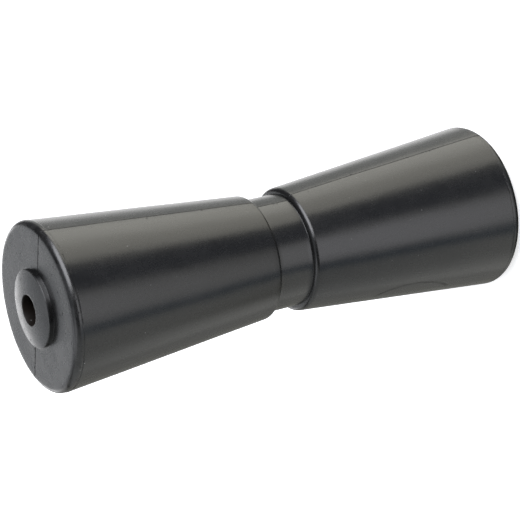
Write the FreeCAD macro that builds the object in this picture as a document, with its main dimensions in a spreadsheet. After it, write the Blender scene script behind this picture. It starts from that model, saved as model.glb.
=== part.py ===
"""Boat trailer roller of the keel type, one moulding of black rubber.

Two cones meet at a short straight neck, where the keel of the boat runs. Each
end has a rounded shoulder and a low hub boss with a crowned face, and one bore
for the spindle goes through the whole length.

Millimetres, +Z up. The roller stands on its end: its axis is +Z, and the origin
is the centre of the boss land that it stands on.
"""
import FreeCAD, Part
import math
import os

import Sketcher

# Driving sizes: name, millimetres, what the size is
SIZES = (
    ("overall_length", 300.0, "over the flat lands of the two bosses"),
    ("end_diameter", 97.2, "of a cone at its end face, to the sharp corner"),
    ("waist_diameter", 72.1, "of a cone at its step, before the step's edge is broken"),
    ("neck_length", 22.8, "of the straight neck, between the steps up to the cones"),
    ("step_depth", 3.25, "from a cone down to the neck"),
    ("step_break", 2.0, "cut off the edge between a step and its cone"),
    ("shoulder_radius", 4.3, "between a cone and its end face"),
    ("boss_diameter", 44.0, "of a hub boss"),
    ("boss_height", 4.6, "from the end face to the land"),
    ("boss_rim_break", 0.4, "cut off the outer edge of a boss"),
    ("crown_drop", 1.5, "from the land down to the boss's edge"),
    ("land_diameter", 25.0, "of the flat that the roller stands on"),
    ("bore_diameter", 17.0, "for the spindle, with running room"),
    ("bore_mouth_break", 0.4, "cut off the edge of the bore"),
    ("witness_depth", 0.25, "of the groove left where the mould's end plate met its shells"),
    ("witness_width", 0.8, "of that groove"),
)
NODE = "roller"

V = FreeCAD.Vector
START, END = 1, 2                   # the points of a sketch element
X_AXIS, ORIGIN = -1, (-1, 1)        # the sketch's own axis and origin


def make_sheet(doc):
    """Put the driving sizes in the spreadsheet and return them as a dictionary."""
    sheet = doc.addObject("Spreadsheet::Sheet", "Sizes")
    for row, (name, value, meaning) in enumerate(SIZES, start=1):
        sheet.set(f"A{row}", name)
        sheet.set(f"B{row}", str(value))
        sheet.setAlias(f"B{row}", name)
        sheet.set(f"C{row}", meaning)
    doc.recompute()
    return {name: value for name, value, meaning in SIZES}


def origin_plane(body, role):
    """One of the body's own planes, such as XY_Plane."""
    return next(plane for plane in body.Origin.OriginFeatures if plane.Role == role)


def new_section(body, name):
    """A half-section through the axis: x is the radius, y the height over mid-length."""
    sketch = body.newObject("Sketcher::SketchObject", name)
    sketch.AttachmentSupport = (origin_plane(body, "XZ_Plane"), [""])
    sketch.MapMode = "FlatFace"
    return sketch


def line(sketch, start, end):
    return sketch.addGeometry(Part.LineSegment(V(*start), V(*end)), False)


def arc(sketch, centre, radius, start_angle, end_angle):
    circle = Part.Circle(V(*centre), V(0, 0, 1), radius)
    return sketch.addGeometry(Part.ArcOfCircle(circle, start_angle, end_angle), False)


def rule(sketch, kind, *elements):
    """A constraint with no size, such as Vertical or Tangent."""
    sketch.addConstraint(Sketcher.Constraint(kind, *elements))


def measure(sketch, name, kind, elements, value, expression):
    """A named constraint that starts at its value and follows the sheet."""
    index = sketch.addConstraint(Sketcher.Constraint(kind, *elements, value))
    sketch.renameConstraint(index, name)
    sketch.setExpression(f"Constraints.{name}", expression)


def read_off(sketch, name, element, point):
    """Two named reference dimensions of a point, which other sketches can use."""
    place = sketch.getPoint(element, point)
    for axis, kind, value in (("x", "DistanceX", place.x), ("y", "DistanceY", place.y)):
        index = sketch.addConstraint(Sketcher.Constraint(kind, *ORIGIN, element, point, value))
        sketch.setDriving(index, False)
        sketch.renameConstraint(index, f"{name}_{axis}")


def check_sketch(sketch):
    """Stop if a sketch is left open to move."""
    if sketch.solve() != 0 or not sketch.FullyConstrained:
        raise RuntimeError(f"sketch {sketch.Name} is not fully constrained")


def upper_half(body, size):
    """Revolve the section above mid-length: neck, cone, shoulder, end face, boss, bore."""
    waist = size["waist_diameter"] / 2
    neck = waist - size["step_depth"]
    end = size["end_diameter"] / 2
    boss = size["boss_diameter"] / 2
    land = size["land_diameter"] / 2
    bore = size["bore_diameter"] / 2
    shoulder = size["shoulder_radius"]
    drop = size["crown_drop"]
    neck_top = size["neck_length"] / 2
    top = size["overall_length"] / 2
    face = top - size["boss_height"]
    taper = math.atan2(end - waist, face - neck_top)
    crown = ((boss - land) ** 2 + drop ** 2) / (2 * drop)

    # The points below only start the solver: the constraints fix every one of them
    sketch = new_section(body, "half_section")
    neck_side = line(sketch, (neck, 0), (neck, neck_top))
    step_face = line(sketch, (neck, neck_top), (waist, neck_top))
    cone = line(sketch, (waist, neck_top), (end, face - shoulder))
    shoulder_edge = arc(sketch, (end - shoulder, face - shoulder), shoulder, -taper, math.pi / 2)
    end_face = line(sketch, (end - shoulder, face), (boss, face))
    boss_side = line(sketch, (boss, face), (boss, top - drop))
    crown_edge = arc(sketch, (land, top - crown), crown,
                     math.asin((crown - drop) / crown), math.pi / 2)
    land_face = line(sketch, (land, top), (bore, top))
    bore_side = line(sketch, (bore, top), (bore, 0))
    middle = line(sketch, (bore, 0), (neck, 0))
    end_corner = sketch.addGeometry(Part.Point(V(end, face)), True)

    rule(sketch, "Coincident", neck_side, END, step_face, START)
    rule(sketch, "Coincident", step_face, END, cone, START)
    rule(sketch, "Tangent", cone, END, shoulder_edge, START)
    rule(sketch, "Tangent", shoulder_edge, END, end_face, START)
    rule(sketch, "Coincident", end_face, END, boss_side, START)
    rule(sketch, "Coincident", boss_side, END, crown_edge, START)
    rule(sketch, "Tangent", crown_edge, END, land_face, START)
    rule(sketch, "Coincident", land_face, END, bore_side, START)
    rule(sketch, "Coincident", bore_side, END, middle, START)
    rule(sketch, "Coincident", middle, END, neck_side, START)
    for upright in (neck_side, boss_side, bore_side):
        rule(sketch, "Vertical", upright)
    for level in (step_face, end_face, land_face, middle):
        rule(sketch, "Horizontal", level)
    rule(sketch, "PointOnObject", neck_side, START, X_AXIS)
    rule(sketch, "PointOnObject", end_corner, START, cone)

    measure(sketch, "neck_r", "DistanceX", (*ORIGIN, neck_side, START), neck,
            "Sizes.waist_diameter / 2 - Sizes.step_depth")
    radii = (("waist", cone, waist), ("end", end_corner, end), ("boss", boss_side, boss),
             ("land", land_face, land), ("bore", bore_side, bore))
    for name, element, radius in radii:
        measure(sketch, f"{name}_r", "DistanceX", (*ORIGIN, element, START),
                radius, f"Sizes.{name}_diameter / 2")
    top_height = "Sizes.overall_length / 2"
    face_height = f"{top_height} - Sizes.boss_height"
    heights = (("neck_level", (neck_side, END), neck_top, "Sizes.neck_length / 2"),
               ("end_level", (end_corner, START), face, face_height),
               ("face_level", (end_face, END), face, face_height),
               ("edge_level", (boss_side, END), top - drop, f"{top_height} - Sizes.crown_drop"),
               ("top_level", (land_face, START), top, top_height))
    for name, point, height, expression in heights:
        measure(sketch, name, "DistanceY", (*ORIGIN, *point), height, expression)
    measure(sketch, "shoulder", "Radius", (shoulder_edge,), shoulder, "Sizes.shoulder_radius")
    read_off(sketch, "witness", cone, END)
    body.Document.recompute()
    check_sketch(sketch)

    solid = body.newObject("PartDesign::Revolution", "upper_half")
    solid.Profile = sketch
    solid.ReferenceAxis = (sketch, ["V_Axis"])
    solid.Angle = 360
    body.Document.recompute()
    return sketch, solid


def witness_groove(body, half_section, size):
    """Cut the fine groove round the shoulder; its flanks run on outside the surface."""
    deep = size["witness_depth"]
    wide = size["witness_width"]
    across = half_section.getDatum("witness_x").Value
    up = half_section.getDatum("witness_y").Value

    sketch = new_section(body, "witness_section")
    lower = line(sketch, (across - deep, up), (across + deep, up - wide))
    outer = line(sketch, (across + deep, up - wide), (across + deep, up + wide))
    upper = line(sketch, (across + deep, up + wide), (across - deep, up))
    rule(sketch, "Coincident", lower, END, outer, START)
    rule(sketch, "Coincident", outer, END, upper, START)
    rule(sketch, "Coincident", upper, END, lower, START)
    rule(sketch, "Vertical", outer)
    seat_x = f"{half_section.Name}.Constraints.witness_x"
    seat_y = f"{half_section.Name}.Constraints.witness_y"
    depth = "Sizes.witness_depth * 1 mm"
    width = "Sizes.witness_width * 1 mm"
    places = (("root_x", "DistanceX", lower, across - deep, f"{seat_x} - {depth}"),
              ("root_y", "DistanceY", lower, up, seat_y),
              ("mouth_x", "DistanceX", outer, across + deep, f"{seat_x} + {depth}"),
              ("mouth_low", "DistanceY", outer, up - wide, f"{seat_y} - {width}"),
              ("mouth_high", "DistanceY", upper, up + wide, f"{seat_y} + {width}"))
    for name, kind, element, value, expression in places:
        measure(sketch, name, kind, (*ORIGIN, element, START), value, expression)
    body.Document.recompute()
    check_sketch(sketch)

    groove = body.newObject("PartDesign::Groove", "witness_groove")
    groove.Profile = sketch
    groove.ReferenceAxis = (sketch, ["V_Axis"])
    groove.Angle = 360
    body.Document.recompute()
    return groove


def mirror_down(body, features):
    """Repeat the upper half below mid-length."""
    mirror = body.newObject("PartDesign::Mirrored", "both_halves")
    mirror.Originals = features
    mirror.MirrorPlane = (origin_plane(body, "XY_Plane"), [""])
    body.Tip = mirror
    body.Document.recompute()
    return mirror


def circles_at(feature, radius, height):
    """Names of the round edges with this radius, at this height above or below mid-length."""
    names = []
    for number, edge in enumerate(feature.Shape.Edges, start=1):
        curve = edge.Curve
        if (isinstance(curve, Part.Circle) and math.isclose(curve.Radius, radius, abs_tol=1e-6)
                and math.isclose(abs(curve.Center.z), height, abs_tol=1e-6)):
            names.append(f"Edge{number}")
    return names


def break_edges(body, name, base, radius, height, size_name):
    """Cut a small chamfer on one pair of edges, the same at both ends."""
    chamfer = body.newObject("PartDesign::Chamfer", name)
    chamfer.Base = (base, circles_at(base, radius, height))
    chamfer.setExpression("Size", f"Sizes.{size_name}")
    body.Tip = chamfer
    body.Document.recompute()
    return chamfer


def make_roller(doc, size):
    """The whole roller, modelled about its middle and stood on its end."""
    body = doc.addObject("PartDesign::Body", NODE)
    body.Label = NODE
    half_section, half = upper_half(body, size)
    groove = witness_groove(body, half_section, size)
    solid = mirror_down(body, [half, groove])

    top = size["overall_length"] / 2
    rim = top - size["crown_drop"]
    step = size["neck_length"] / 2
    solid = break_edges(body, "steps", solid, size["waist_diameter"] / 2, step, "step_break")
    solid = break_edges(body, "boss_rim", solid, size["boss_diameter"] / 2, rim, "boss_rim_break")
    break_edges(body, "bore_mouth", solid, size["bore_diameter"] / 2, top, "bore_mouth_break")
    body.setExpression(".Placement.Base.z", "Sizes.overall_length / 2")
    doc.recompute()
    return body


def check(doc, bodies):
    """Stop before anything is written if an object has failed or a solid is bad."""
    for item in doc.Objects:
        if "Invalid" in item.State or "Error" in item.State:
            raise RuntimeError(f"{item.Name} failed: {item.State}")
    for body in bodies:
        shape = body.Shape
        if shape.isNull() or not shape.isValid() or len(shape.Solids) != 1:
            raise RuntimeError(f"{body.Label} is not one valid solid")


def main():
    doc = FreeCAD.newDocument("boat_trailer_roller")
    size = make_sheet(doc)
    bodies = [make_roller(doc, size)]
    check(doc, bodies)
    os.makedirs("parts", exist_ok=True)
    for body in bodies:
        body.Shape.exportStep(f"parts/{body.Label}.step")
        box = body.Shape.optimalBoundingBox(False)
        print(f"{body.Label}: {box.XLength:.2f} x {box.YLength:.2f} x {box.ZLength:.2f} mm, "
              f"z {box.ZMin:.3f} to {box.ZMax:.3f}, {body.Shape.Volume:.1f} mm3, "
              f"{len(body.Shape.Faces)} faces")


main()
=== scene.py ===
"""Boat trailer roller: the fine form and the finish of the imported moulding.

The roller is one moulding of black rubber, so the object is one piece: its section is
revolved, and the marks that its mould leaves are raised and sunk in the mesh. Metres, in
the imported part's frame: the axis is +Z, and the mould parts along the XZ plane. The
photograph shows the roller lying down, so the camera is rolled about its line of sight.
"""

import math

import bpy
from bpy.props import FloatProperty, FloatVectorProperty, IntProperty, PointerProperty
from mathutils import Euler, Matrix, Quaternion, Vector


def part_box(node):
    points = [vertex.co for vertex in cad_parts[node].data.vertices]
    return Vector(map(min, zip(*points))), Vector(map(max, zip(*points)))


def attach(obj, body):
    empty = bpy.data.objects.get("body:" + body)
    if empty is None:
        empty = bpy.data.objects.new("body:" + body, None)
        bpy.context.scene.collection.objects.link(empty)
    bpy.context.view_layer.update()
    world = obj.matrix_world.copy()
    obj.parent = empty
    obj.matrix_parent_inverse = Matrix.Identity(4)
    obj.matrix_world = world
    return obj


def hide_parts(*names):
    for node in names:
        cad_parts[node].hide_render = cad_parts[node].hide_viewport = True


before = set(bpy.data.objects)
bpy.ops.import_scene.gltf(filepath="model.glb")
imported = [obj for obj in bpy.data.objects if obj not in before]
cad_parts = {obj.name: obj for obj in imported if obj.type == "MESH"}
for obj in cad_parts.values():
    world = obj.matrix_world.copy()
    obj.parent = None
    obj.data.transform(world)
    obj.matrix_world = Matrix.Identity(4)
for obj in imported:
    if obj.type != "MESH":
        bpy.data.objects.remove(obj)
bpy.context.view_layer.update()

bl_info = {
    "name": "Boat Trailer Roller",
    "version": (1, 0, 0),
    "blender": (4, 5, 0),
    "location": "View3D > Sidebar > Roller",
    "description": "Makes a moulded rubber keel roller and its studio",
    "category": "Object",
}

MM = 0.001
LOW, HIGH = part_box("roller")
MIDDLE = (LOW.z + HIGH.z) / 2
HALF_LENGTH = (HIGH.z - LOW.z) / 2


# Properties

def length(name, millimetres, description):
    """A size in metres whose default is written in millimetres."""
    return FloatProperty(name=name, description=description, default=millimetres * MM,
                         unit="LENGTH", subtype="DISTANCE", precision=5)


def angle(name, degrees, description):
    """An angle in radians whose default is written in degrees."""
    return FloatProperty(name=name, description=description, default=math.radians(degrees),
                         unit="ROTATION", subtype="ANGLE")


def share(name, value, description):
    """A number from 0 to 1."""
    return FloatProperty(name=name, description=description, default=value, min=0.0, max=1.0,
                         subtype="FACTOR")


def colour(name, value, description):
    """A colour in red, green and blue, in linear light."""
    return FloatVectorProperty(name=name, description=description, default=value, size=3,
                               min=0.0, max=1.0, subtype="COLOR")


class RollerSection(bpy.types.PropertyGroup):
    """The section of the roller, nearly the same in both halves."""
    neck_radius: length("Neck radius", 32.8, "Of the straight neck")
    neck_length: length("Neck length", 21.9, "Between the two steps")
    step_root: length("Step root", 0.3, "Fillet between the neck and a step")
    near_step_edge: length("Near step edge", 2.3, "Round between the upper step and its cone")
    far_step_edge: length("Far step edge", 3.0, "Round between the lower step and its cone")
    waist_radius: length("Waist radius", 36.05, "Of a cone, level with its step")
    end_radius: length("End radius", 48.6, "Of a cone at its end face, to the sharp corner")
    shoulder: length("Shoulder", 3.9, "Round between a cone and its end face")
    boss_height: length("Boss height", 4.6, "From the end face to the land")
    boss_radius: length("Boss radius", 22.0, "Of the hub boss")
    boss_root: length("Boss root", 0.12, "Fillet between the end face and the boss")
    boss_rim: length("Boss rim", 0.45, "Round on the boss's outer edge")
    crown_drop: length("Crown drop", 1.7, "From the land down to the boss's edge")
    land_radius: length("Land radius", 9.3, "Of the flat land round the bore")
    land_fall: angle("Land fall", 6.5, "Slope of the boss's face outside the flat")
    brow_radius: length("Brow radius", 15.5, "Where the boss's face starts to round over")
    bore_radius: length("Bore radius", 8.5, "Of the bore for the spindle")
    bore_mouth: length("Bore mouth", 0.5, "Round on the edge of the bore")


class MouldMarks(bpy.types.PropertyGroup):
    """What the mould leaves on the surface."""
    steps_around: IntProperty(name="Steps around", default=288, min=24,
                              description="Faces round the roller, closer at the parting line")
    line_width: length("Parting line width", 0.5, "Of the groove where the mould parts")
    line_depth: length("Parting line depth", 0.22, "Of that groove")
    line_wander: length("Parting line wander", 0.5, "How far the line strays sideways")
    ridge_lean: angle("Ridge lean", 2.5, "Lean of the surface on each side of the parting line")
    ridge_reach: angle("Ridge reach", 13.0, "Turn from the parting line to the ridge's foot")
    witness_width: length("Witness width", 0.7, "Of the groove where the end plate met the shells")
    witness_depth: length("Witness depth", 0.22, "Of that groove")
    plate_shift: length("Plate shift", 0.26, "Of the upper end plate, out of line with the shells")
    plate_bearing: angle("Plate bearing", 35.0, "Way that it is shifted, from +X")
    unevenness: length("Unevenness", 0.12, "How far the soft moulding strays from its form")
    scuff_bearing: angle("Scuff bearing", -132.0, "Of the curved scuff's middle, from +X")
    scuff_height: length("Scuff height", -81.0, "Of its middle, over the roller's middle")
    scuff_length: length("Scuff length", 25.0, "Half of its size along the roller")
    scuff_width: length("Scuff width", 12.5, "Half of its size round the roller")


class RubberFinish(bpy.types.PropertyGroup):
    """Colours and gloss of the moulded rubber."""
    rubber: colour("Rubber", (0.0045, 0.0045, 0.0045), "Of the moulded skin")
    # Lighter rims: the rubbed wear, and partly a painted sheen on the shoulders and the bosses'
    # rims
    worn_and_sheen: colour("Worn", (0.016, 0.016, 0.016), "Of the rubbed rims")
    bore: colour("Bore", (0.010, 0.007, 0.005), "Of the stained wall of the bore")
    dust: colour("Dust", (0.30, 0.30, 0.29), "Of the specks of dust and lint")
    gloss: share("Roughness", 0.27, "Roughness of the moulded skin")


class StudioStage(bpy.types.PropertyGroup):
    """The floor, the lights and the camera."""
    floor_colour: colour("Floor", (0.9, 0.9, 0.9), "Of the pale floor")
    view_azimuth: angle("View azimuth", -54.5, "Of the camera round the roller, from +X")
    view_elevation: angle("View elevation", 27.909, "Of the camera over the floor")
    view_roll: angle("View roll", -103.465, "Of the camera about its line of sight")
    view_distance: length("View distance", 1207.55, "From the camera to the point it looks at")
    aim_right: length("Aim right", 3.948, "Of the roller's middle from the picture's middle")
    aim_up: length("Aim up", 3.584, "Of the roller's middle from the picture's middle")
    lens: FloatProperty(name="Lens", description="Focal length on a 36 mm sensor",
                        default=145.64, unit="CAMERA")


# Node trees written as expressions

SIDES_APART = 7.0               # between the noise of one parting line and of the other
WANDER_SIZE = 60 * MM           # length over which a parting line strays


def math_method(operation, swapped=False):
    """A method that adds a Math node, with its two sockets the other way round if swapped."""
    def method(self, other):
        values = (other, self) if swapped else (self, other)
        return self.graph.function(operation, *values)
    return method


class Wire:
    """An output socket of a tree, on which arithmetic adds Math nodes."""
    __add__ = math_method("ADD")
    __radd__ = math_method("ADD", swapped=True)
    __sub__ = math_method("SUBTRACT")
    __rsub__ = math_method("SUBTRACT", swapped=True)
    __mul__ = math_method("MULTIPLY")
    __rmul__ = math_method("MULTIPLY", swapped=True)
    __truediv__ = math_method("DIVIDE")
    __pow__ = math_method("POWER")

    def __init__(self, graph, socket):
        self.graph = graph
        self.socket = socket

    def __abs__(self):
        return self.graph.function("ABSOLUTE", self)


class Graph:
    """A node tree whose nodes all come from one method."""

    def __init__(self, tree):
        self.tree = tree

    def add(self, kind, settings=None, sockets=None, output=0):
        """Add a node, with its settings first and then its sockets, and give one output."""
        node = self.tree.nodes.new(kind)
        for name, value in (settings or {}).items():
            setattr(node, name, value)
        for name, value in (sockets or {}).items():
            if isinstance(value, Wire):
                self.tree.links.new(value.socket, node.inputs[name])
            else:
                node.inputs[name].default_value = value
        return Wire(self, node.outputs[output]) if len(node.outputs) else node

    def other(self, wire, output):
        """Another output of the node that a wire comes from."""
        return Wire(self, wire.socket.node.outputs[output])

    def function(self, operation, *values):
        """A Math node."""
        return self.add("ShaderNodeMath", {"operation": operation}, dict(enumerate(values)))

    def vector(self, operation, first, second):
        """A Vector Math node, whose second value is a number where it scales the first."""
        socket = "Scale" if operation == "SCALE" else 1
        return self.add("ShaderNodeVectorMath", {"operation": operation},
                        {0: first, socket: second})

    def axes(self, vector):
        """The three numbers of a vector."""
        x = self.add("ShaderNodeSeparateXYZ", None, {0: vector})
        return x, self.other(x, 1), self.other(x, 2)

    def combine(self, x, y, z):
        """The vector of three numbers."""
        return self.add("ShaderNodeCombineXYZ", None, {0: x, 1: y, 2: z})

    def ramp(self, value, start, end):
        """0 below start and 1 above end, with a smooth rise between them."""
        return self.add("ShaderNodeMapRange", {"interpolation_type": "SMOOTHSTEP"},
                        {"Value": value, "From Min": start, "From Max": end})

    def noise(self, vector, size, detail=2.0, roughness=0.5):
        """Noise from -1 to 1 with this size of feature, in metres."""
        value = self.add("ShaderNodeTexNoise", None,
                         {"Vector": vector, "Scale": 1 / size, "Detail": detail,
                          "Roughness": roughness})
        return (value - 0.5) * 2.0

    def beside_line(self, sign, radius, height):
        """Where the noise of a parting line is read, apart for the roller's two sides."""
        return self.combine(radius, sign * SIDES_APART, height)

    def seam(self, sign, across, radius, height, wander):
        """Distance from the line where the mould parts, which strays a little."""
        stray = self.noise(self.beside_line(sign, radius, height), WANDER_SIZE, 1.0)
        return abs(across + stray * wander)

    def mix(self, factor, first, second):
        """A mix of two colours."""
        settings = {"data_type": "RGBA"}
        return self.add("ShaderNodeMix", settings, {0: factor, 6: first, 7: second}, 2)


def emptied(data):
    """The graph of a new material or world, with nothing in it yet."""
    data.use_nodes = True
    data.node_tree.nodes.clear()
    return Graph(data.node_tree)


def opaque(shade, factor=1.0):
    """A colour as a socket takes it, times a factor."""
    return (*[channel * factor for channel in shade], 1.0)


# The section

STATION_SPACING = 3.2 * MM      # the most between two points of the section
CROWN_STEPS = 8                 # stations on the boss's brow
WITNESS_STEPS = 4               # stations on each side of the witness groove
BOSS_FADE = 2 * MM              # over which the mould's marks start, outside the boss
SHOULDER_FADE = 4 * MM          # over which the ridge dies out before a shoulder
WITNESS_FALL = 1.6              # steepness of the witness groove's sides
ON_SEAM = 0.01 * MM             # how near counts as on the seam of the end plate


def rounded(before, corner, after, radius, steps):
    """Points of the arc that touches both sides of a corner."""
    one = (before - corner).normalized()
    two = (after - corner).normalized()
    half = one.angle(two) / 2
    centre = corner + (one + two).normalized() * radius / math.sin(half)
    start = corner + one * radius / math.tan(half) - centre
    end = corner + two * radius / math.tan(half) - centre
    turn = start.angle_signed(end)
    points = []
    for step in range(steps + 1):
        part = turn * step / steps
        spun = Matrix(((math.cos(part), math.sin(part)), (-math.sin(part), math.cos(part))))
        points.append(centre + spun @ start)
    return points


def boss_crown(size, brow):
    """Stations from the boss's corner up its rounded brow and its slope to the flat land."""
    slope = math.tan(size.land_fall)
    level = HALF_LENGTH - (size.brow_radius - size.land_radius) * slope
    width = size.boss_radius - size.brow_radius
    bend = (level - brow.y - width * slope) / width ** 2
    crown = [brow]
    for step in range(1, CROWN_STEPS + 1):
        out = width * (1 - step / CROWN_STEPS)
        crown.append(Vector((size.brow_radius + out, level - out * slope - bend * out ** 2)))
    crown.append(Vector((size.land_radius, HALF_LENGTH)))
    return crown


def half_section(size, marks, step_edge):
    """Where the end plate's seam is, and the upper half's arcs and stations in lists.

    A point is (radius, height over the roller's middle).
    """
    face = HALF_LENGTH - size.boss_height
    neck_edge = size.neck_length / 2
    neck_middle = Vector((size.neck_radius, 0))
    root = Vector((size.neck_radius, neck_edge))
    edge = Vector((size.waist_radius, neck_edge))
    corner = Vector((size.end_radius, face))
    foot = Vector((size.boss_radius, face))
    brow = Vector((size.boss_radius, HALF_LENGTH - size.crown_drop))
    mouth = Vector((size.bore_radius, HALF_LENGTH))
    bore_middle = Vector((size.bore_radius, 0))
    crown = boss_crown(size, brow)

    shoulder = rounded(edge, corner, foot, size.shoulder, steps=16)
    down_cone = (edge - corner).normalized()
    seam = shoulder[0] + down_cone * marks.witness_width
    witness = [seam - down_cone * marks.witness_width * part / WITNESS_STEPS
               for part in range(-WITNESS_STEPS, WITNESS_STEPS)]
    return seam, [
        [neck_middle],
        rounded(neck_middle, root, edge, size.step_root, steps=3),
        rounded(root, edge, corner, step_edge, steps=10),
        witness,
        shoulder,
        rounded(corner, foot, brow, size.boss_root, steps=4),
        rounded(foot, brow, crown[1], size.boss_rim, steps=5),
        crown[1:],
        rounded(crown[-1], mouth, bore_middle, size.bore_mouth, steps=4),
        [bore_middle],
    ]


def joined(stretches):
    """One path through the stretches, with more points where two are far apart."""
    path = list(stretches[0])
    for stretch in stretches[1:]:
        gap = stretch[0] - path[-1]
        count = max(1, math.ceil(gap.length / STATION_SPACING))
        path += [path[-1] + gap * part / count for part in range(1, count)]
        path += stretch
    return path


def clamped(value):
    return min(1.0, max(0.0, value))


def section_mesh(size, marks):
    """The closed section as points and edges in the XZ plane, with its masks."""
    seam, upper = half_section(size, marks, size.near_step_edge)
    lower = half_section(size, marks, size.far_step_edge)[1]
    below = joined(lower)[1:-1]
    loop = joined(upper) + [Vector((point.x, -point.y)) for point in reversed(below)]
    count = len(loop)
    mesh = bpy.data.meshes.new("roller_section")
    mesh.from_pydata([(point.x, 0.0, MIDDLE + point.y) for point in loop],
                     [(number, (number + 1) % count) for number in range(count)], [])

    boss_foot = size.boss_radius + size.boss_root
    shoulder_start = HALF_LENGTH - size.boss_height - size.shoulder
    mouth_edge = size.bore_radius + size.bore_mouth
    masks = {"outside": [], "side": [], "witness": [], "plate": []}
    for point in loop:
        height = abs(point.y)
        outside = clamped((point.x - boss_foot) / BOSS_FADE)
        side = clamped((shoulder_start - height) / SHOULDER_FADE)
        away = (Vector((point.x, height)) - seam).length / marks.witness_width
        on_plate = point.y > seam.y - ON_SEAM and point.x > mouth_edge
        masks["outside"].append(outside)
        masks["side"].append(side if outside > 0 else 0.0)
        masks["witness"].append(clamped(1.0 - WITNESS_FALL * away))
        masks["plate"].append(1.0 if on_plate else 0.0)
    for name, values in masks.items():
        mesh.attributes.new(name, "FLOAT", "POINT").data.foreach_set("value", values)
    return mesh


# The moulding

CROWDING = 0.965                # how close the faces come at the parting lines, below 1
END_LINE = 2.2                  # depth of the parting line off the cones, against on them
RAGGED_SIZE = 3 * MM            # of the bites along the parting line
BITE_SIZE = 5 * MM              # of those along the witness groove
SWELL_SIZE = 45 * MM            # of the wide unevenness
SINK_SIZE = 17 * MM             # of the narrower, which is drawn out along the roller
SINK_STRETCH = 0.25


def mould_sockets(tree):
    """The named inputs and the output of the mould's tree."""
    make = tree.interface.new_socket
    make("Section", in_out="INPUT", socket_type="NodeSocketGeometry")
    make("Steps around", in_out="INPUT", socket_type="NodeSocketInt")
    for name in ("Line width", "Line depth", "Line wander", "Ridge lean", "Ridge reach",
                 "Witness depth", "Unevenness"):
        make(name, in_out="INPUT", socket_type="NodeSocketFloat")
    make("Plate shift", in_out="INPUT", socket_type="NodeSocketVector")
    make("Roller", in_out="OUTPUT", socket_type="NodeSocketGeometry")


def stored(graph, attribute):
    """A number that each point carries."""
    return graph.add("GeometryNodeInputNamedAttribute", {"data_type": "FLOAT"},
                     {"Name": attribute})


def store(graph, geometry, attribute, value):
    """The geometry, with one more number on each point."""
    return graph.add("GeometryNodeStoreNamedAttribute",
                     {"data_type": "FLOAT", "domain": "POINT"},
                     {"Geometry": geometry, "Name": attribute, "Value": value})


def swept_section(graph, given):
    """The section swept round a circle, its points marked with turn, radius and height."""
    # The circle's points crowd together at the two parting lines
    steps = graph.other(given, "Steps around")
    even = graph.add("GeometryNodeInputIndex") * math.tau / steps
    turn = even - graph.function("SINE", even * 2.0) * (CROWDING / 2)
    circle = graph.add("GeometryNodeCurvePrimitiveCircle", None, {"Resolution": steps})
    circle = store(graph, circle, "turn", turn)

    section = graph.add("GeometryNodeMeshToCurve", None, {"Mesh": given})
    radius, _, height = graph.axes(graph.add("GeometryNodeInputPosition"))
    section = store(graph, section, "outward", radius)
    section = store(graph, section, "upward", height)
    return graph.add("GeometryNodeCurveToMesh", None,
                     {"Curve": circle, "Profile Curve": section})


def mould_relief(graph, given, radius, height, cosine, sine):
    """How far the surface stands proud of the plain section, along its own normal."""
    outside, side, witness = (stored(graph, name) for name in ("outside", "side", "witness"))
    place = graph.add("GeometryNodeInputPosition")

    # The groove of the parting line, and the low ridge that it runs along
    sign = graph.function("SIGN", cosine)
    across = graph.seam(sign, radius * sine, radius, height, graph.other(given, "Line wander"))
    ragged = graph.noise(graph.beside_line(sign, radius, height), RAGGED_SIZE, 3.0)
    line = 1.0 - graph.ramp(across, 0.0, graph.other(given, "Line width") / 2)
    line = line * (0.75 + 0.5 * ragged) * outside * (END_LINE - side * (END_LINE - 1.0))
    line = line * graph.other(given, "Line depth")
    lean, reach = graph.other(given, "Ridge lean"), graph.other(given, "Ridge reach")
    bearing = graph.function("ARCSINE", graph.function("MINIMUM", across / radius, 1.0))
    near = graph.function("MAXIMUM", 1.0 - bearing / reach, 0.0)
    ridge = near ** 2.0 * radius * lean * reach / 2.0 * side

    # The end plate's groove, which fails in places and stands proud in others
    bites = 0.5 + 1.8 * graph.noise(place, BITE_SIZE, 3.0, 0.7)
    groove = witness * graph.function("MAXIMUM", bites, -0.3)
    groove = groove * graph.other(given, "Witness depth")

    drawn = graph.combine(radius * cosine, radius * sine, height * SINK_STRETCH)
    soft = graph.noise(place, SWELL_SIZE, 1.0) * 0.6 + graph.noise(drawn, SINK_SIZE, 2.0)
    soft = soft * graph.other(given, "Unevenness") * outside
    return ridge + soft - line - groove


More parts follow.
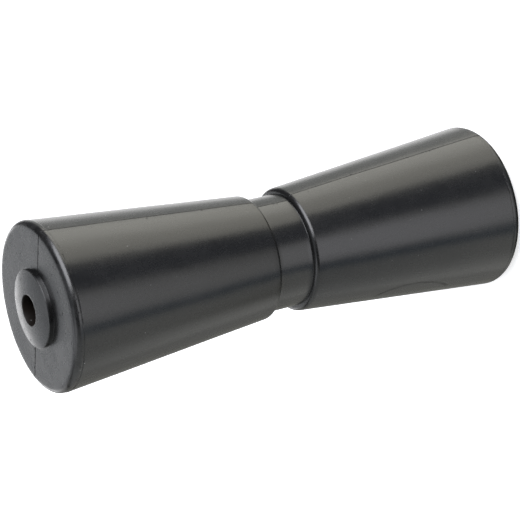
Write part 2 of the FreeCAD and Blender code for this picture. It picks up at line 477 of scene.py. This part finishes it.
def mould_tree(material):
    """Geometry nodes that revolve the section and sink the mould's marks into it."""
    tree = bpy.data.node_groups.new("moulded_roller", "GeometryNodeTree")
    tree.is_modifier = True
    mould_sockets(tree)
    graph = Graph(tree)
    given = graph.add("NodeGroupInput")

    form = swept_section(graph, given)
    turn, radius, height = (stored(graph, name) for name in ("turn", "outward", "upward"))
    cosine, sine = graph.function("COSINE", turn), graph.function("SINE", turn)
    place = graph.combine(radius * cosine, radius * sine, height)
    shift = graph.vector("SCALE", graph.other(given, "Plate shift"), stored(graph, "plate"))
    form = graph.add("GeometryNodeSetPosition", None, {
        "Geometry": form, "Position": place, "Offset": shift})
    form = graph.add("GeometryNodeFlipFaces", None, {"Mesh": form})

    relief = mould_relief(graph, given, radius, height, cosine, sine)
    offset = graph.vector("SCALE", graph.add("GeometryNodeInputNormal"), relief)
    form = graph.add("GeometryNodeSetPosition", None, {"Geometry": form, "Offset": offset})

    form = graph.add("GeometryNodeSetShadeSmooth", None, {"Geometry": form, "Shade Smooth": True})
    for name in ("turn", "outward", "upward", "outside", "side", "witness", "plate"):
        form = graph.add("GeometryNodeRemoveAttribute", None, {"Geometry": form, "Name": name})
    form = graph.add("GeometryNodeRealizeInstances", None, {"Geometry": form})
    form = graph.add("GeometryNodeSetMaterial", None, {"Geometry": form, "Material": material})
    graph.add("NodeGroupOutput", None, {"Roller": form})
    return tree


def set_inputs(modifier, values):
    """Give a geometry nodes modifier its inputs by their names."""
    for item in modifier.node_group.interface.items_tree:
        if item.item_type == "SOCKET" and item.in_out == "INPUT" and item.name in values:
            modifier[item.identifier] = values[item.name]


def make_moulding(scene):
    """The whole roller as one plain mesh."""
    size, marks = scene.roller_section, scene.roller_marks
    material = rubber_material(size, marks, scene.roller_finish)
    source = bpy.data.objects.new("roller_source", section_mesh(size, marks))
    scene.collection.objects.link(source)
    modifier = source.modifiers.new("mould", "NODES")
    modifier.node_group = mould_tree(material)
    plate_way = Vector((math.cos(marks.plate_bearing), math.sin(marks.plate_bearing), 0.0))
    set_inputs(modifier, {
        "Steps around": marks.steps_around,
        "Line width": marks.line_width,
        "Line depth": marks.line_depth,
        "Line wander": marks.line_wander,
        "Ridge lean": marks.ridge_lean,
        "Ridge reach": marks.ridge_reach,
        "Witness depth": marks.witness_depth,
        "Unevenness": marks.unevenness,
        "Plate shift": plate_way * marks.plate_shift,
    })
    bpy.context.view_layer.update()
    evaluated = source.evaluated_get(bpy.context.evaluated_depsgraph_get())
    mesh = bpy.data.meshes.new_from_object(evaluated)
    mesh.name = "moulded_roller"
    bpy.data.objects.remove(source)
    piece = bpy.data.objects.new("moulded_roller", mesh)
    scene.collection.objects.link(piece)
    return piece


# The rubber

CLOUD_SIZE = 22 * MM            # of the wide mottling
BLOTCH_SIZE = 7 * MM            # of the narrower mottling
BLOTCHES_APART = (3.0, 1.0, 7.0)
STREAK_SIZE = 2.2 * MM          # across the streaks, which run along the roller
STREAK_STRETCH = 0.06
GRAIN_SIZE = 0.6 * MM
STAIN_SIZE = 8 * MM
CRUMB_SIZE = 1.6 * MM           # of the crumbs of dirt beside the mould's seams
PIT_SIZE = 3 * MM               # of the shallow pits in the end faces
FLECK_SPACING = 4 * MM          # between the places where a speck of dust may lie
BUMP_HEIGHT = 0.03 * MM
RUBBER_IOR = 1.5
DULL_IOR = 1.08                 # of what mirrors next to nothing, even at a low angle


class RubberSkin:
    """Where a point of the surface lies, and the noises from -1 to 1 that mottle it."""

    def __init__(self, graph, size):
        self.graph = graph
        self.size = size
        self.place = graph.add("ShaderNodeTexCoord", None, None, "Object")
        self.x, self.y, self.z = graph.axes(self.place)
        self.radius = graph.function("SQRT", self.x * self.x + self.y * self.y)
        end_face = HALF_LENGTH - size.boss_height
        from_middle = abs(self.z - MIDDLE)
        self.past_face = from_middle - end_face
        self.on_end = graph.ramp(from_middle, end_face - 2 * MM, end_face - 0.5 * MM)

        self.cloud = self.noise(CLOUD_SIZE, 4.0, 0.65)
        self.blotch = graph.noise(graph.vector("ADD", self.place, BLOTCHES_APART),
                                  BLOTCH_SIZE, 4.0, 0.6)
        drawn = graph.combine(self.x, self.y, self.z * STREAK_STRETCH)
        self.streak = graph.noise(drawn, STREAK_SIZE)
        self.grain = self.noise(GRAIN_SIZE)

    def noise(self, size, detail=2.0, roughness=0.5):
        return self.graph.noise(self.place, size, detail, roughness)


def worn_and_sheen_rims(skin):
    """Lighter patches on the shoulders and the bosses' rims: wear where a floor rubs them, and
    partly a painted sheen on these rounded rims.
    """
    graph, size = skin.graph, skin.size
    shoulder = graph.ramp(skin.radius, size.end_radius - size.shoulder,
                          size.end_radius - 0.5 * size.shoulder)
    shoulder = shoulder * graph.ramp(skin.past_face, -1.3 * size.shoulder, -0.8 * size.shoulder)
    to_rim = abs(skin.past_face - size.boss_height + size.crown_drop)
    to_rim = abs(skin.radius - size.boss_radius) + to_rim
    rim = graph.function("MAXIMUM", shoulder * 0.8, 1.0 - graph.ramp(to_rim, 0.3 * MM, 1.2 * MM))
    return rim * graph.ramp(skin.blotch + 0.4 * skin.grain + 0.5 * skin.cloud, -0.6, 0.7)


def end_seam(skin):
    """1 along the seam where a shoulder meets its cone, and 0 a little way off."""
    graph, size = skin.graph, skin.size
    at_seam = 1.0 - graph.ramp(abs(skin.past_face + size.shoulder), 0.5 * MM, 2.2 * MM)
    return at_seam * graph.ramp(skin.radius, size.end_radius - 2.0 * MM,
                                size.end_radius - 1.0 * MM)


def parting_shade_and_dirt(skin, marks, at_seam):
    """Painted shade in the groove of the parting line, and crumbs of dirt beside that line and the
    end seams.
    """
    graph, size = skin.graph, skin.size
    away = graph.seam(graph.function("SIGN", skin.x), skin.y, skin.radius, skin.z,
                      marks.line_wander)
    ragged = skin.noise(2.5 * MM, 3.0, 0.7)
    # The dark line along the parting groove is painted shade: the reflection there is dulled, as a
    # crevice's shade would darken it
    line = 1.0 - graph.ramp(away + ragged * 0.25 * MM, 0.25 * MM, 0.6 * MM)
    near = graph.function("MAXIMUM", 1.0 - graph.ramp(away, 0.8 * MM, 4.5 * MM), at_seam)
    crumb = graph.ramp(skin.noise(CRUMB_SIZE, 1.0), 0.40, 0.52) * near
    outside = graph.ramp(skin.radius, size.boss_radius, size.boss_radius + 2 * MM)
    line = line * (0.25 + 0.75 * skin.on_end)
    return graph.function("MAXIMUM", line, crumb * 0.7) * outside


def curved_scuff(skin, marks):
    """A curved scuff on the lower cone: one side of an oval ring."""
    graph, bearing = skin.graph, marks.scuff_bearing
    sideways = skin.y * math.cos(bearing) - skin.x * math.sin(bearing)
    sideways = (sideways + 0.5 * MM * skin.cloud) / marks.scuff_width
    upward = (skin.z - MIDDLE - marks.scuff_height) / marks.scuff_length
    ring = abs(graph.function("SQRT", sideways * sideways + upward * upward) - 1.0)
    facing = skin.x * math.cos(bearing) + skin.y * math.sin(bearing)
    scuff = (1.0 - graph.ramp(ring, 0.025, 0.08)) * graph.ramp(sideways, 0.0, 0.5)
    return scuff * graph.ramp(facing, 0.0, 5 * MM) * (0.7 + 0.5 * skin.streak)


def dust_flecks(skin, at_seam):
    """Specks of dust and lint, most of them near the upper end and on the end seams."""
    graph = skin.graph
    cells = graph.add("ShaderNodeTexVoronoi", {"feature": "F1"},
                      {"Vector": skin.place, "Scale": 1 / FLECK_SPACING}, "Distance")
    chance = graph.axes(graph.other(cells, "Color"))[0] + 0.3 * at_seam
    fleck = (1.0 - graph.ramp(cells, 0.04, 0.10)) * graph.ramp(chance, 0.90, 0.91)
    return fleck * (0.35 + 0.65 * graph.ramp(skin.z, MIDDLE + 80 * MM, MIDDLE + 120 * MM))


def rubber_material(size, marks, finish):
    """Satin black rubber: mottled skin, rims lightened by wear and by a painted sheen, a parting
    line darkened as painted shade with crumbs of dirt beside it, a stained bore darkened as
    painted shade.
    """
    material = bpy.data.materials.new("moulded_rubber")
    graph = emptied(material)
    skin = RubberSkin(graph, size)
    at_seam = end_seam(skin)
    wear_and_sheen = worn_and_sheen_rims(skin)
    shade_and_dirt = parting_shade_and_dirt(skin, marks, at_seam)
    scuff = curved_scuff(skin, marks)
    fleck = dust_flecks(skin, at_seam)
    pits = graph.ramp(skin.noise(PIT_SIZE), 0.25, 0.6) * skin.on_end
    # The bore: a reddish-brown stain, and a dulled reflection (in dull) that darkens the recess as
    # painted shade
    in_bore = 1.0 - graph.ramp(skin.radius, size.bore_radius + 0.1 * MM,
                               size.bore_radius + 0.6 * MM)

    tone = 0.5 + 0.35 * skin.cloud + (0.25 + 0.45 * skin.on_end) * skin.blotch
    base = graph.mix(tone, opaque(finish.rubber, 0.4), opaque(finish.rubber, 1.9))
    # Rims lightened by wear and partly by a painted sheen
    base = graph.mix(wear_and_sheen, base, opaque(finish.worn_and_sheen))
    stain = in_bore * (0.6 + 0.4 * skin.noise(STAIN_SIZE, 3.0))
    base = graph.mix(stain, base, opaque(finish.bore))
    base = graph.mix(fleck * 0.6, base, opaque(finish.dust))

    rough = finish.gloss + 0.035 * skin.cloud + (0.02 + 0.08 * skin.on_end) * skin.blotch
    rough = rough + 0.02 * skin.streak + 0.02 * skin.grain
    rough = rough + 0.25 * in_bore + 0.2 * fleck + 0.03 * wear_and_sheen + 0.35 * shade_and_dirt + 0.15 * pits
    relief = skin.grain * 0.05 + skin.streak * 0.12 + skin.blotch * 0.6
    relief = relief - shade_and_dirt * 2.0 - scuff * 2.5 - pits * 0.6
    bump = graph.add("ShaderNodeBump", None, {
        "Height": relief, "Strength": 1.0, "Distance": BUMP_HEIGHT})

    # Dulled reflection: painted shade in the parting line's groove and in the bore, and the
    # rubber's own duller scuff and pits
    dull = 0.95 * shade_and_dirt + 0.55 * scuff + 0.75 * in_bore + 0.36 * pits
    glossy, flat = (graph.add("ShaderNodeBsdfPrincipled", None, {
        "Base Color": base, "Roughness": rough, "Normal": bump, "IOR": ior})
        for ior in (RUBBER_IOR, DULL_IOR))
    surface = graph.add("ShaderNodeMixShader", None, {
        0: graph.function("MINIMUM", dull, 1.0), 1: glossy, 2: flat})
    graph.add("ShaderNodeOutputMaterial", None, {"Surface": surface})
    return material


# The stage

WHITE = (1.0, 1.0, 1.0)
CORNERS = ((-1, -1), (1, -1), (1, 1), (-1, 1))
FLOOR_HALF = 20.0               # half of the floor's side
FLOOR_GLOW = 0.6                # what the floor adds to its lit colour, where it is seen
WORLD_LIGHT = 0.5               # of the surroundings, which show as 1
DISTANCE = 2.0                  # from the roller to the upright boxes and cards
LID, TRAY = 50, -54             # elevations of the level cards' edges, in degrees
LID_GAP = 0.02                  # between the level card on top and what hangs under it

SOFT_BOXES = {
    # name: azimuths and elevations in degrees, light in red, green and blue
    "key": ((-5, 26), (TRAY, 0), (1.75, 1.69, 1.43)),
    "key_far": ((26, 56), (TRAY, 0), (2.47, 2.42, 2.14)),
    "key_top": ((-39, 24), (6, LID), (6.4, 6.5, 6.9)),
    "front_low": ((-92, -48), (TRAY, -28), (0.62, 0.62, 0.60)),
    "front": ((-88, -52), (-28, 0), (1.33, 1.33, 1.45)),
    "fill": ((86, 116), (TRAY, -8), (0.7, 0.7, 0.7)),
    "rear": ((192, 255), (TRAY, -28), (0.39, 0.39, 0.33)),
    "boss_light": ((108, 152), (4, 17), (1.75, 1.75, 1.8)),
    "boss_top": ((108, 168), (51, 70), (1.5, 1.5, 1.55)),
    "rear_top_light": ((185, 262), (51, 72), (1.3, 1.3, 1.35)),
}

CARDS = {
    # name: azimuths and elevations in degrees, brightness in red, green and blue
    "front_card": ((-45, -5), (TRAY, -3), (0.13, 0.15, 0.20)),
    "key_card": ((56, 86), (TRAY, 0), (0.74, 0.76, 0.74)),
    "rear_card": ((116, 172), (TRAY, -2), (0.39, 0.39, 0.36)),
    "rear_edge": ((172, 192), (TRAY, 0), (0.60, 0.60, 0.57)),
    "rear_shade": ((192, 255), (-28, 0), (0.85, 0.87, 0.86)),
    "side_card": ((255, 266), (TRAY, 0), (0.05, 0.16, 0.29)),
    "front_slot": ((-104, -45), (0, LID), (0.01, 0.01, 0.01)),
    "key_slot": ((24, 40), (0, LID), (0.20, 0.20, 0.28)),
    "side_shade": ((40, 106), (0, LID), (0.10, 0.10, 0.11)),
    "rear_slot": ((162, 176), (0, LID), (0.05, 0.05, 0.04)),
    "rear_top": ((176, 256), (0, LID), (0.86, 0.89, 0.89)),
    "end_card": ((106, 154), (21, LID), (0.78, 0.81, 0.85)),
    "side_top": ((30, 106), (51, 74), (0.15, 0.15, 0.16)),
}

LEVEL_CARDS = {
    # name: elevation in degrees at which it starts, brightness in red, green and blue
    "top_card": (LID, (0.45, 0.48, 0.52)),
    "under_card": (TRAY, (0.01, 0.01, 0.01)),
}


def seen(graph):
    """1 for what the camera sees, also by way of gloss or glass, and 0 for other light."""
    ray = graph.add("ShaderNodeLightPath")
    shown = graph.function("MAXIMUM", ray, graph.other(ray, "Is Glossy Ray"))
    return graph.function("MAXIMUM", shown, graph.other(ray, "Is Transmission Ray"))


def pale_surface(name, shade):
    """White to the camera and to reflections, and a plain pale surface to the light."""
    material = bpy.data.materials.new(name)
    graph = emptied(material)
    diffuse = graph.add("ShaderNodeBsdfDiffuse", None, {"Color": opaque(shade)})
    glow = graph.add("ShaderNodeEmission", None, {
        "Color": opaque(WHITE), "Strength": seen(graph) * FLOOR_GLOW})
    surface = graph.add("ShaderNodeAddShader", None, {0: diffuse, 1: glow})
    graph.add("ShaderNodeOutputMaterial", None, {"Surface": surface})
    return material


def card_material(name, shade):
    """An even grey that doesn't depend on the lamps."""
    material = bpy.data.materials.new(name)
    graph = emptied(material)
    glow = graph.add("ShaderNodeEmission", None, {"Color": opaque(shade)})
    graph.add("ShaderNodeOutputMaterial", None, {"Surface": glow})
    return material


def rectangle(scene, name, points, material):
    """A flat thing of the stage with these four corners."""
    mesh = bpy.data.meshes.new(name)
    mesh.from_pydata(points, [], [(0, 1, 2, 3)])
    mesh.materials.append(material)
    flat = bpy.data.objects.new(name, mesh)
    scene.collection.objects.link(flat)
    return flat


def make_floor(scene):
    """A wide floor under the standing roller, which light and reflections pass through."""
    points = [(x * FLOOR_HALF, y * FLOOR_HALF, LOW.z) for x, y in CORNERS]
    floor = rectangle(scene, "floor", points,
                      pale_surface("pale_floor", scene.roller_stage.floor_colour))
    floor.visible_glossy = False
    floor.visible_shadow = False
    return floor


def height_at(elevation):
    """Height over the roller's middle of a point of a wall of boxes and cards."""
    return DISTANCE * math.tan(math.radians(elevation))


def faced(azimuths, elevations):
    """Width, height, place and turn of the rectangle that fills these angles.

    It stands upright, or it is level under the card on top where it starts above the wall.
    """
    start, end = (math.radians(azimuth) for azimuth in azimuths)
    bearing = (start + end) / 2
    if elevations[0] > LID:
        rise = height_at(LID) - LID_GAP
        far, near = (rise / math.tan(math.radians(elevation)) for elevation in elevations)
        reach, height, tilt = (far + near) / 2, far - near, 0.0
    else:
        low, high = (height_at(elevation) for elevation in elevations)
        rise = (low + high) / 2
        reach, height, tilt = DISTANCE, high - low, math.pi / 2
    width = 2 * reach * math.tan((end - start) / 2)
    place = Vector((reach * math.cos(bearing), reach * math.sin(bearing), MIDDLE + rise))
    return width, height, place, Euler((tilt, 0.0, bearing + math.pi / 2))


def make_soft_boxes(scene):
    """Soft boxes round the roller, whose light adds to the white of the studio."""
    for name, (azimuths, elevations, shade) in SOFT_BOXES.items():
        width, height, place, turn = faced(azimuths, elevations)
        lamp = bpy.data.lights.new(name, "AREA")
        lamp.shape = "RECTANGLE"
        lamp.size = width
        lamp.size_y = height
        lamp.color = shade
        lamp.energy = math.pi * width * height
        box = bpy.data.objects.new(name, lamp)
        box.location = place
        box.rotation_euler = turn
        box.visible_camera = False
        scene.collection.objects.link(box)


def make_card(scene, name, width, height, place, turn, shade):
    """One grey card, not seen by the camera, that darkens what the rubber's gloss shows."""
    points = [turn.to_matrix() @ Vector((x * width / 2, y * height / 2, 0)) + place
              for x, y in CORNERS]
    card = rectangle(scene, name, points, card_material(name, shade))
    card.visible_camera = False
    return card


def make_cards(scene):
    """The upright cards, and the level ones over and under them."""
    cards = []
    for name, (azimuths, elevations, shade) in CARDS.items():
        cards.append(make_card(scene, name, *faced(azimuths, elevations), shade))
    for name, (elevation, shade) in LEVEL_CARDS.items():
        place = Vector((0.0, 0.0, MIDDLE + height_at(elevation)))
        cards.append(make_card(scene, name, 3 * DISTANCE, 3 * DISTANCE, place, Euler(), shade))
    return cards


def make_world(scene):
    """White surroundings, which light the roller a little less than they show."""
    world = bpy.data.worlds.new("studio")
    graph = emptied(world)
    background = graph.add("ShaderNodeBackground", None, {
        "Color": opaque(WHITE), "Strength": WORLD_LIGHT + (1.0 - WORLD_LIGHT) * seen(graph)})
    graph.add("ShaderNodeOutputWorld", None, {"Surface": background})
    scene.world = world


def make_camera(scene):
    """The camera at the photograph's place, rolled so that the roller lies down."""
    stage = scene.roller_stage
    data = bpy.data.cameras.new("camera")
    data.sensor_width = 36.0
    data.lens = stage.lens
    camera = bpy.data.objects.new("camera", data)
    scene.collection.objects.link(camera)
    flat = math.cos(stage.view_elevation)
    back = Vector((flat * math.cos(stage.view_azimuth), flat * math.sin(stage.view_azimuth),
                   math.sin(stage.view_elevation)))
    turned = back.to_track_quat("Z", "Y") @ Quaternion((0, 0, 1), stage.view_roll)
    aim = Vector((0, 0, MIDDLE)) - turned @ Vector((stage.aim_right, stage.aim_up, 0))
    camera.rotation_mode = "QUATERNION"
    camera.rotation_quaternion = turned
    camera.location = aim + back * stage.view_distance
    scene.camera = camera


# Operators, panel and registration

class ROLLER_OT_moulding(bpy.types.Operator):
    """Make the moulded rubber roller and put it in place of the plain node"""
    bl_idname = "roller.moulding"
    bl_label = "Make Moulded Roller"

    def execute(self, context):
        piece = make_moulding(context.scene)
        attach(piece, "root")
        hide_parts("roller")
        return {"FINISHED"}


class ROLLER_OT_stage(bpy.types.Operator):
    """Make the floor, the lights and the camera"""
    bl_idname = "roller.stage"
    bl_label = "Make Stage"

    def execute(self, context):
        scene = context.scene
        make_floor(scene)
        make_soft_boxes(scene)
        for card in make_cards(scene):
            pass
        make_world(scene)
        make_camera(scene)
        scene.view_settings.view_transform = "Standard"
        return {"FINISHED"}


class ROLLER_PT_panel(bpy.types.Panel):
    """Buttons for the roller and its stage"""
    bl_label = "Boat Trailer Roller"
    bl_idname = "ROLLER_PT_panel"
    bl_space_type = "VIEW_3D"
    bl_region_type = "UI"
    bl_category = "Roller"

    def draw(self, context):
        for operator in (ROLLER_OT_moulding, ROLLER_OT_stage):
            self.layout.operator(operator.bl_idname)
        for name in GROUPS:
            box = self.layout.box()
            for field in getattr(context.scene, name).bl_rna.properties.keys():
                if field not in ("rna_type", "name"):
                    box.prop(getattr(context.scene, name), field)


GROUPS = {"roller_section": RollerSection, "roller_marks": MouldMarks,
          "roller_finish": RubberFinish, "roller_stage": StudioStage}
CLASSES = (*GROUPS.values(), ROLLER_OT_moulding, ROLLER_OT_stage, ROLLER_PT_panel)


def register():
    for item in CLASSES:
        bpy.utils.register_class(item)
    for name, group in GROUPS.items():
        setattr(bpy.types.Scene, name, PointerProperty(type=group))


def unregister():
    for name in GROUPS:
        delattr(bpy.types.Scene, name)
    for item in reversed(CLASSES):
        bpy.utils.unregister_class(item)


def main():
    register()
    bpy.ops.roller.moulding()
    bpy.ops.roller.stage()
    bpy.context.view_layer.update()


if __name__ == "__main__":
    main()
